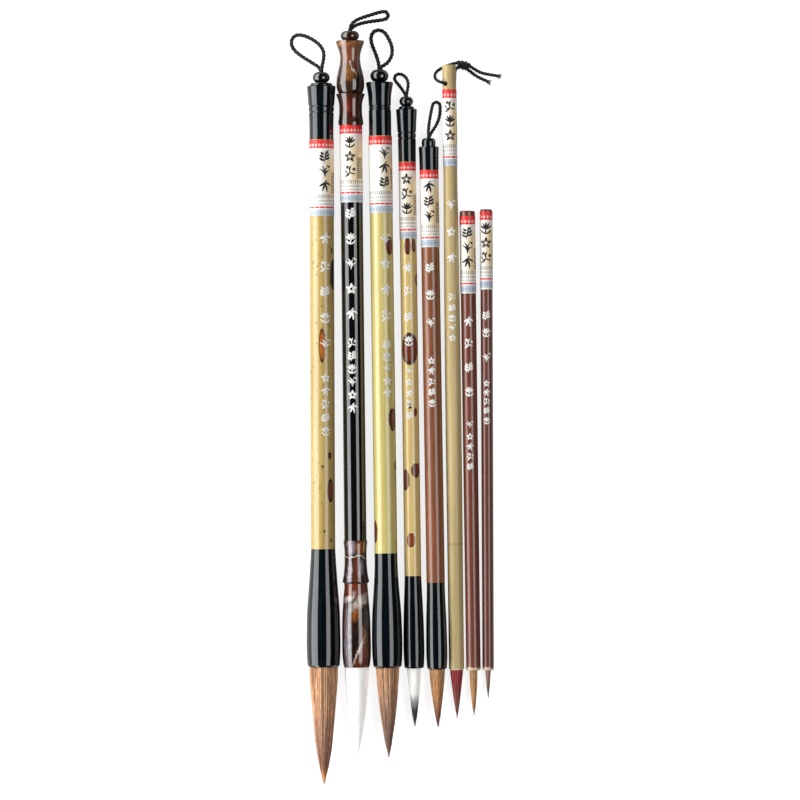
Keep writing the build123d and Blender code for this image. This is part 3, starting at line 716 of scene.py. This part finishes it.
def cord_look():
    """Black twisted thread with fine fibres."""
    g = Graph("black_cord")
    place = g.node("TexCoord", {}, output="Object")
    fibre = g.noise(g.scaled(place, [1 / MM] * 3), 4.5, 3.0)
    shade = g.node("Attribute", {}, output="Fac", attribute_name="shade")
    tone = g.math("ADD", g.times(fibre, 0.6), g.times(shade, 0.4))
    color = g.ramp(tone, [(0.3, rgb(8, 7, 8)), (0.75, rgb(42, 37, 37))])
    normal = g.bump(fibre, 0.06, 0.8)
    return g.surface(color, 0.6, normal, specular_ior_level=0.4, sheen_weight=0.1, sheen_roughness=0.5)


def twisted(pieces, line, diameter):
    """The plies of a twisted cord along a line. They don't go below the table."""
    radius = PLY_RADIUS * diameter * MM
    points = evenly(line, PLY_STEP * diameter * MM)
    frames = crossways(points)
    for ply in range(PLIES):
        centres = []
        for i, (point, (side, other)) in enumerate(zip(points, frames)):
            across = around(side, other, 2 * math.pi * (ply / PLIES + i * PLY_STEP / TWIST))
            centre = point + across * PLY_OFFSET * diameter * MM
            centre.z = max(centre.z, radius)
            centres.append(centre)
        pieces.tube(centres, [radius] * len(centres), PLY_SIDES, ply / (PLIES - 1))


def frayed_end(pieces, end, before, diameter, chance):
    """Loose fibres that spread from a cut end of a cord."""
    forward = (end - before).normalized()
    side = forward.orthogonal().normalized()
    other = forward.cross(side)
    for angle in angles(FRAYED_FIBRES):
        across = around(side, other, angle) * diameter * MM
        spread, reach = chance.uniform(0.2, 0.9), chance.uniform(1.0, 2.3) * MM
        start = end - forward * 0.5 * MM + across * 0.3
        middle = start + forward * reach * 0.6 + across * spread * 0.4
        points = [start, middle, start + forward * reach + across * spread]
        points = [Vector((p.x, p.y, max(p.z, 0.1 * MM))) for p in points]
        pieces.tube(points, [radius * MM for radius in FIBRE_RADII], STRAND_SIDES, chance.random())


def knot(look):
    """Brush 6's knot: turns of the cord wound round its own two strands."""
    centre = Vector(KNOT["centre"]) * MM
    turn = math.radians(KNOT["turn"])
    along = Vector((math.cos(turn), math.sin(turn), 0))
    up = Vector((0, 0, 1))
    across = up.cross(along)
    steps = 40
    count = KNOT["turns"] * steps
    line = []
    for i in range(count + 1):
        angle = 2 * math.pi * i / steps
        share = 2 * i / count - 1
        radius = KNOT["radius"] * (1 - 0.2 * share**4) * MM
        place = share * KNOT["turns"] * KNOT["pitch"] / 2 * MM
        line.append(centre + along * place + radius * around(across, up, angle))
    pieces = Pieces()
    twisted(pieces, line, CORD_DIAMETER[6])
    made = pieces.build("brush6_knot", look, "brush6")
    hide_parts("brush6_cord_knot")
    return made


def cord(number, look):
    """A brush's hanging cord."""
    diameter = CORD_DIAMETER[number]
    line = smooth_line(f"route_{number}", ROUTES[number])
    pieces = Pieces()
    twisted(pieces, line, diameter)
    made = pieces.build(f"brush{number}_twisted_cord", look, f"brush{number}")
    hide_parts(*CORD_NODES[number])
    extra = [NODES[f"brush{number}_bead"]] if number <= 4 else []
    if number == 6:
        chance = random.Random(6)
        fray = Pieces()
        frayed_end(fray, line[0], line[4], diameter, chance)
        frayed_end(fray, line[-1], line[-5], diameter, chance)
        extra = [fray.build("brush6_frayed_ends", look, "brush6"), knot(look)]


# -------- inlays and ink
WELL_OUTSIDE = 30.0  # mm from a brush's axis
INK_LIFT = 0.05  # mm above the surface


class Inlay:
    """Flat strokes that follow the surface of a turned piece, in motifs of 1 by 1 about their middle."""

    def __init__(self, brush, node):
        self.brush, self.node = brush, NODES[node]
        self.pieces = Pieces()

    def place(self, station, arc, size):
        """Puts the next motif: its middle, and its size in mm."""
        self.station, self.arc, self.size = station, arc, size

    def on_surface(self, x, y):
        """Where a motif's point goes, a little above the piece's surface."""
        arc = self.arc + x * self.size
        station = self.station + y * self.size
        reference = self.brush.facts["radius"]
        outside = self.brush.at(station, WELL_OUTSIDE, arc, reference)
        inwards = (self.brush.at(station) - outside).normalized()
        hit, place, *_ = self.node.ray_cast(outside, inwards)
        if not hit:
            raise ValueError(f"no surface at station {station} of {self.node.name}")
        return place - inwards * INK_LIFT * MM

    def stroke(self, start, end, width, bend=0.0, steps=7):
        """A stroke that swells towards its middle, which bend moves sideways."""
        (x0, y0), (x1, y1) = start, end
        length = math.hypot(x1 - x0, y1 - y0)
        across = (-(y1 - y0) / length, (x1 - x0) / length)
        edges = []
        for i in range(steps + 1):
            t = i / steps
            bow = 4 * t * (1 - t) * bend
            half = width / 2 * math.sin(math.pi * min(max(t, 0.04), 0.96)) ** 0.5
            x = x0 + (x1 - x0) * t + across[0] * bow
            y = y0 + (y1 - y0) * t + across[1] * bow
            for side in (1, 0, -1):
                edges.append(self.on_surface(x + side * half * across[0], y + side * half * across[1]))
        pieces = self.pieces
        first = len(pieces.points)
        pieces.points.extend(edges)
        pieces.shades.extend([0.5] * len(edges))
        for i in range(steps):
            for j in range(2):
                low = first + 3 * i + j
                pieces.faces.append((low, low + 1, low + 4, low + 3))

    def petals(self, count, inner, outer, width, turn=0.0, middle=(0.0, 0.0)):
        """Strokes that point outwards from a middle."""
        for angle in angles(count):
            angle += math.radians(turn)
            dx, dy = math.sin(angle), math.cos(angle)
            start, end = [(middle[0] + reach * dx, middle[1] + reach * dy) for reach in (inner, outer)]
            self.stroke(start, end, width, steps=4)

    def finish(self, name, material):
        return self.pieces.build(name, material, self.brush.body, smooth=False)


def blossom(ink, line):
    """A five-petalled flower with stamens."""
    ink.petals(5, 0.1, 0.48, 1.7 * line)
    ink.petals(5, 0.14, 0.36, 0.6 * line, turn=36)


def sprig(ink, line):
    """A bent stem with pairs of leaves."""
    ink.stroke((-0.12, -0.5), (0.08, 0.5), line, bend=-0.06)
    for y, reach in [(-0.3, 0.42), (-0.04, 0.4), (0.2, 0.3)]:
        ink.stroke((-0.04, y), (-0.04 - reach, y + 0.2), 1.7 * line, bend=0.05)
        ink.stroke((0.0, y + 0.08), (reach, y + 0.3), 1.7 * line, bend=-0.05)


def bamboo_leaves(ink, line):
    """Pointed leaves that fan out from the end of a twig."""
    for x1, y1 in [(-0.48, -0.02), (-0.24, -0.42), (0.16, -0.5), (0.5, 0.02)]:
        ink.stroke((-0.02, 0.3), (x1, y1), 1.5 * line, bend=0.04)
    ink.stroke((-0.02, 0.28), (0.2, 0.5), 0.9 * line, bend=0.03)


def orchid(ink, line):
    """Long blades of grass that fan out, with a small flower."""
    for x1, y1, bend in [
            (-0.48, 0.2, -0.16), (-0.24, 0.46, -0.1), (0.44, 0.08, 0.16), (0.12, 0.34, 0.05)]:
        ink.stroke((0.0, -0.48), (x1, y1), 1.15 * line, bend=bend)
    for x1, y1 in [(0.16, 0.5), (0.42, 0.48), (0.46, 0.28)]:
        ink.stroke((0.3, 0.36), (x1, y1), line, steps=4)


def plum_branch(ink, line):
    """A knotty branch with buds."""
    ink.stroke((-0.42, -0.46), (-0.02, -0.06), 1.5 * line, bend=-0.05)
    ink.stroke((-0.02, -0.06), (0.1, 0.48), 1.2 * line, bend=0.08)
    ink.stroke((-0.04, -0.06), (0.46, -0.2), line, bend=-0.06)
    ink.stroke((-0.2, -0.2), (-0.38, 0.16), line, bend=0.04)
    for middle in [(0.32, 0.16), (-0.22, 0.34)]:
        ink.petals(5, 0.02, 0.15, line, middle=middle)


def lotus(ink, line):
    """A flower of upright petals on a stem with two leaves."""
    for x1, y1 in [(-0.46, 0.22), (-0.25, 0.44), (0.0, 0.5), (0.25, 0.44), (0.46, 0.22)]:
        ink.stroke((0.0, -0.08), (x1, y1), 1.35 * line)
    ink.stroke((0.0, -0.5), (0.0, -0.06), line, bend=0.03)
    for side in (-1, 1):
        ink.stroke((0.0, -0.46), (0.42 * side, -0.12), 1.2 * line, bend=-0.05 * side)


MOTIFS = [orchid, blossom, bamboo_leaves, plum_branch, sprig, lotus]
# (size in mm, stations of the middles) of the handles' white inlays
COLUMNS = {
    1: [(4.8, (179.3, 167.6, 157.1, 146.2, 134.8)), (4.1, (121.0, 115.5, 110.0, 104.2, 98.7))],
    2: [(4.9, (190.1, 179.6, 169.1, 158.6, 148.1)), (4.2, (136.0, 130.5, 125.1, 119.6, 114.2, 108.7))],
    3: [(4.8, (179.2, 169.1, 158.2, 147.3)), (4.0, (135.1, 130.1, 125.0, 120.0, 115.0))],
    4: [(4.3, (168.0, 158.3, 147.4, 137.3)), (3.4, (124.7, 120.0, 115.4, 110.8, 106.0))],
    5: [(4.3, (168.4, 157.1, 145.3)), (3.4, (129.4, 125.2, 120.5, 116.3, 111.7))],
    6: [(4.2, (195.2, 183.9, 173.0)), (3.2, (156.6, 152.0, 147.8, 143.6, 139.4))],
    7: [(4.2, (146.5, 137.3, 127.2, 117.1)), (3.2, (103.2, 98.2, 94.0, 89.8, 85.6))],
    8: [(4.0, (149.0, 141.9, 131.4)), (3.1, (120.5, 116.7, 112.9, 109.1, 104.9))],
}
LINE = 0.125  # of a motif's size: how thick its plain lines are
LABEL_MOTIFS = 3
LABEL_MARGIN = 7.2  # mm from the label's top edge to the first motif's middle
LABEL_PITCH = 6.1
LABEL_SIZE = 5.0


def inlays(brush, white, black):
    """The white motifs on a brush's handle and the black ones on its label."""
    column = Inlay(brush, f"{brush.body}_handle")
    turn = brush.facts["turn"]
    count = 0
    for size, stations in COLUMNS[brush.number]:
        for station in stations:
            column.place(station, turn, size)
            MOTIFS[(count + 2 * brush.number) % len(MOTIFS)](column, LINE)
            count += 1
    column.finish(f"brush{brush.number}_inlay", white)
    ink = Inlay(brush, f"{brush.body}_label")
    top = brush.facts["label"][1] - LABEL_MARGIN
    for k in range(LABEL_MOTIFS):
        ink.place(top - LABEL_PITCH * k, turn, LABEL_SIZE)
        MOTIFS[(2 * k + brush.number + 3) % len(MOTIFS)](ink, 0.9 * LINE)
    ink.finish(f"brush{brush.number}_ink", black)


# -------- beads, and where the materials go
def bead_look(name, dark, light):
    """Turned and polished wood."""
    g = Graph(name)
    grain = g.noise(g.scaled(g.node("TexCoord", {}, output="Object"), [1 / MM] * 3), 0.9, 3.0)
    color = g.ramp(grain, [(0.35, dark), (0.65, light)])
    return g.surface(color, 0.2, specular_ior_level=0.7, coat_weight=1.0, coat_roughness=0.05)


def dress(brush, part, material):
    for slot in NODES[f"{brush.body}_{part}"].material_slots:
        slot.material = material


# -------- the set
HORN_RED = rgb(136, 58, 36)
HORN_DEEP_RED = rgb(104, 22, 16)
HORN_ORANGE = rgb(178, 98, 36)
HORN_AMBER = rgb(168, 108, 52)
HORN_TAN = rgb(166, 108, 78)
HORN_CREAM = rgb(238, 226, 212)
# the horn's lilac grey, partly a painted highlight: it lies where the lamps' reflections fall on brush 2
HORN_LILAC_AND_PAINTED_HIGHLIGHT = rgb(176, 164, 176)
HORN_GREY = rgb(70, 74, 74)
HORN_BLACK = rgb(20, 16, 13)
HORN_BROWN = rgb(78, 48, 32)
HORN_PATCHES = {
    "ferrule": [
        (33.6, 0.0, 9.0, 26.0, HORN_RED), (16.0, 5.2, 20.0, 7.0, HORN_BROWN),
        # the lilac patch on the left is partly a painted highlight
        (18.0, -6.2, 30.0, 5.0, HORN_RED), (12.0, -3.4, 27.0, 2.8, HORN_LILAC_AND_PAINTED_HIGHLIGHT),
        (28.8, -3.2, 7.0, 2.6, HORN_CREAM, 50.0), (27.4, 1.9, 9.0, 3.8, HORN_CREAM, 48.0),
        (21.0, 4.1, 9.0, 3.4, HORN_GREY), (10.5, 2.6, 13.0, 2.4, HORN_TAN),
        (14.0, -0.3, 16.0, 3.6, HORN_BLACK, 6.0), (22.6, 0.1, 6.6, 3.0, HORN_ORANGE, 12.0),
        (3.6, 2.1, 11.0, 5.0, HORN_RED, 16.0), (7.8, 1.0, 14.0, 0.7, HORN_CREAM, 19.0),
    ],
    "ferrule_collar": [
        # the lilac patches here are partly a painted highlight
        (50.5, -1.8, 5.6, 3.6, HORN_LILAC_AND_PAINTED_HIGHLIGHT), (50.5, 2.2, 5.6, 4.2, HORN_ORANGE),
        (41.0, 0.4, 10.0, 2.6, HORN_RED), (40.0, -2.6, 11.0, 2.2, HORN_LILAC_AND_PAINTED_HIGHLIGHT),
        (41.5, 2.5, 9.0, 1.6, HORN_LILAC_AND_PAINTED_HIGHLIGHT, 10.0), (46.3, 0.0, 0.7, 20.0, HORN_CREAM),
    ],
    "upper_cap": [
        (256.6, 0.6, 11.0, 10.0, HORN_TAN), (261.4, 0.0, 1.8, 30.0, HORN_AMBER),
        (256.6, 0.4, 8.0, 3.0, HORN_RED), (248.6, -0.4, 6.0, 3.4, HORN_AMBER),
        (251.6, 0.9, 6.0, 0.9, HORN_CREAM, -24.0), (250.4, 3.0, 7.0, 1.0, HORN_TAN, 18.0),
    ],
    "lower_cap": [(234.8, 0.2, 9.4, 6.4, HORN_DEEP_RED), (235.0, -1.4, 6.0, 2.0, HORN_RED)],
}
HANDLES = {
    1: speckled_bamboo,
    2: lambda brush: lacquer(brush, rgb(3, 3, 5), rgb(9, 8, 11), roughness=0.12),
    3: golden_bamboo,
    4: blotched_bamboo,
    5: lambda brush: lacquer(brush, rgb(108, 55, 25), rgb(150, 85, 42)),
    6: plain_bamboo,
    7: lambda brush: lacquer(brush, rgb(90, 30, 14), rgb(130, 58, 33), rgb(214, 188, 160)),
    8: lambda brush: lacquer(brush, rgb(82, 28, 12), rgb(118, 54, 30), rgb(214, 188, 160)),
}
thread = Graph("binding_thread").surface(rgb(150, 96, 60), 0.7)
white_ink = Graph("white_inlay").surface(rgb(238, 236, 230), 0.5)
black_ink = Graph("black_ink").surface(rgb(14, 12, 12), 0.5)
bead_black = bead_look("bead_black", rgb(6, 6, 8), rgb(18, 17, 19))
bead_brown = bead_look("bead_brown", rgb(16, 8, 6), rgb(66, 34, 22))
black_cord = cord_look()

for number in BRUSHES:
    brush = Brush(number)
    dress(brush, "handle", HANDLES[number](brush))
    dress(brush, "label", label_paper(brush))
    dress(brush, "hair_binding", thread)
    if number in (1, 3, 4, 5):
        horn = black_horn(brush)
        dress(brush, "ferrule", horn)
        dress(brush, "end_cap", horn)
    if number <= 4:
        dress(brush, "bead", bead_brown if number == 2 else bead_black)
    if number == 2:
        for part, patches in HORN_PATCHES.items():
            dress(brush, part, marbled_horn(brush, part, patches))
    tuft(brush)
    inlays(brush, white_ink, black_ink)
for number in ROUTES:
    cord(number, black_cord)


# -------- floor, light and camera
def floor():
    """The white table: it takes the brushes' shadows, and reads as white where it is lit."""
    mesh = bpy.data.meshes.new("table")
    half = FLOOR_SIZE / 2 * MM
    corners = [(-half, -half, 0), (half, -half, 0), (half, half, 0), (-half, half, 0)]
    mesh.from_pydata(corners, [], [(0, 1, 2, 3)])
    made = in_scene("table", mesh)
    g = Graph("table")
    ray = g.node("LightPath", {})
    camera_ray, glossy_ray, transmission_ray = [
        ray.node.outputs[f"Is {kind} Ray"] for kind in ("Camera", "Glossy", "Transmission")]
    reflected = g.times(g.math("ADD", glossy_ray, transmission_ray), FLOOR_SHINE)
    place = g.node("TexCoord", {}, output="Object")
    from_middle = g.node("VectorMath", {0: place}, output="Value", operation="LENGTH")
    glow = g.spread(from_middle, WHITE_REACH[0] * MM, WHITE_REACH[1] * MM, FLOOR_GLOW)
    glow = g.math("MULTIPLY_ADD", camera_ray, glow, reflected)
    mesh.materials.append(g.surface(FLOOR_COLOR, 0.9, specular_ior_level=0.0, emission_color=opaque(WHITE),
                                    emission_strength=glow))


def soft_light(name, facts):
    """A long light beside the brushes. tilt: degrees from straight above, to the right if more than 0."""
    width = 2 * facts["distance"] * math.tan(math.radians(facts["spread"] / 2))
    light = bpy.data.lights.new(name, "AREA")
    light.shape = "RECTANGLE"
    light.size = width * MM
    light.size_y = facts["length"] * MM
    light.energy = facts["radiance"] * math.pi * light.size * light.size_y
    light.color = facts["color"]
    made = in_scene(name, light)
    tilt = math.radians(facts["tilt"])
    made.location = Vector((math.sin(tilt), 0, math.cos(tilt))) * facts["distance"] * MM
    made.rotation_euler = (0, tilt, 0)
    made.visible_camera = False


def world():
    """White behind everything, and an even light from all round."""
    g = Graph("studio", "worlds")
    camera_ray = g.node("LightPath", {}, output="Is Camera Ray")
    strength = g.spread(camera_ray, 0.0, 1.0, SKY)
    g.node("OutputWorld", {"Surface": g.node("Background", {"Color": opaque(WHITE), "Strength": strength})})
    bpy.context.scene.world = g.owner


def camera():
    """Looks straight down on the brushes."""
    data = bpy.data.cameras.new("camera")
    data.lens = LENS
    data.sensor_width = SENSOR
    data.clip_end = 20.0
    made = in_scene("camera", data)
    distance = PIXEL * PICTURE / SENSOR * LENS
    made.location = Vector((*VIEW_CENTRE, SHARP_HEIGHT + distance)) * MM
    bpy.context.scene.camera = made


floor()
for name, facts in LIGHTS.items():
    soft_light(name, facts)
world()
camera()
bpy.context.scene.view_settings.view_transform = "Standard"
